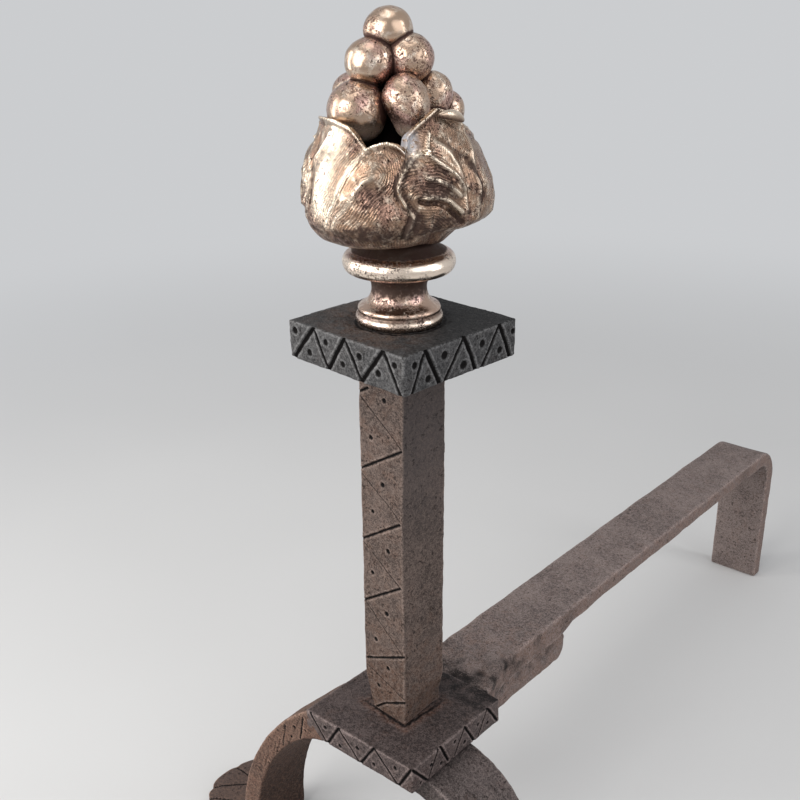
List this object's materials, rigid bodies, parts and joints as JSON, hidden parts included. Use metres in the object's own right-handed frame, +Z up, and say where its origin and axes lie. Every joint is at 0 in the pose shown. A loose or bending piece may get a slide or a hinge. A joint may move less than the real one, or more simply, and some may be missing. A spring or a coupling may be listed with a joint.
{
  "type": "andiron",
  "caption": "Forged iron fire dog: arched front legs with fan feet, square post on a chiselled plate, log bar behind, brass leaf and berry finial.",
  "frame": {"origin": "on the floor, under the middle of the whole outline", "axes": "+Z up, front with the two fan feet towards -Y, log bar towards +Y, +X to the right seen from the front"},
  "size_m": [0.2474, 0.432, 0.4175],
  "materials": {
    "worn_iron": "hand-forged, worn, dusty grey-brown",
    "brown_iron": "hand-forged, warm brown rust",
    "rusty_iron": "hand-forged, fine brown rust",
    "dark_iron": "hand-forged, dark, rubbed along its edges",
    "bright_steel": "plain steel rod",
    "turned_brass": "turned, antiqued, rubbed bright on its rings",
    "cast_brass": "cast and chased, antiqued dark in its hollows"
  },
  "bodies": {
    "root": {"base_plate": "worn_iron", "left_leg": "brown_iron", "right_leg": "worn_iron", "log_bar": "worn_iron", "back_tongue": "worn_iron", "post": "rusty_iron", "cap_plate": "dark_iron", "finial_stud": "bright_steel", "finial_neck": "turned_brass", "leaf_cup": "cast_brass", "berry_cluster": "cast_brass"}
  },
  "joints": []
}
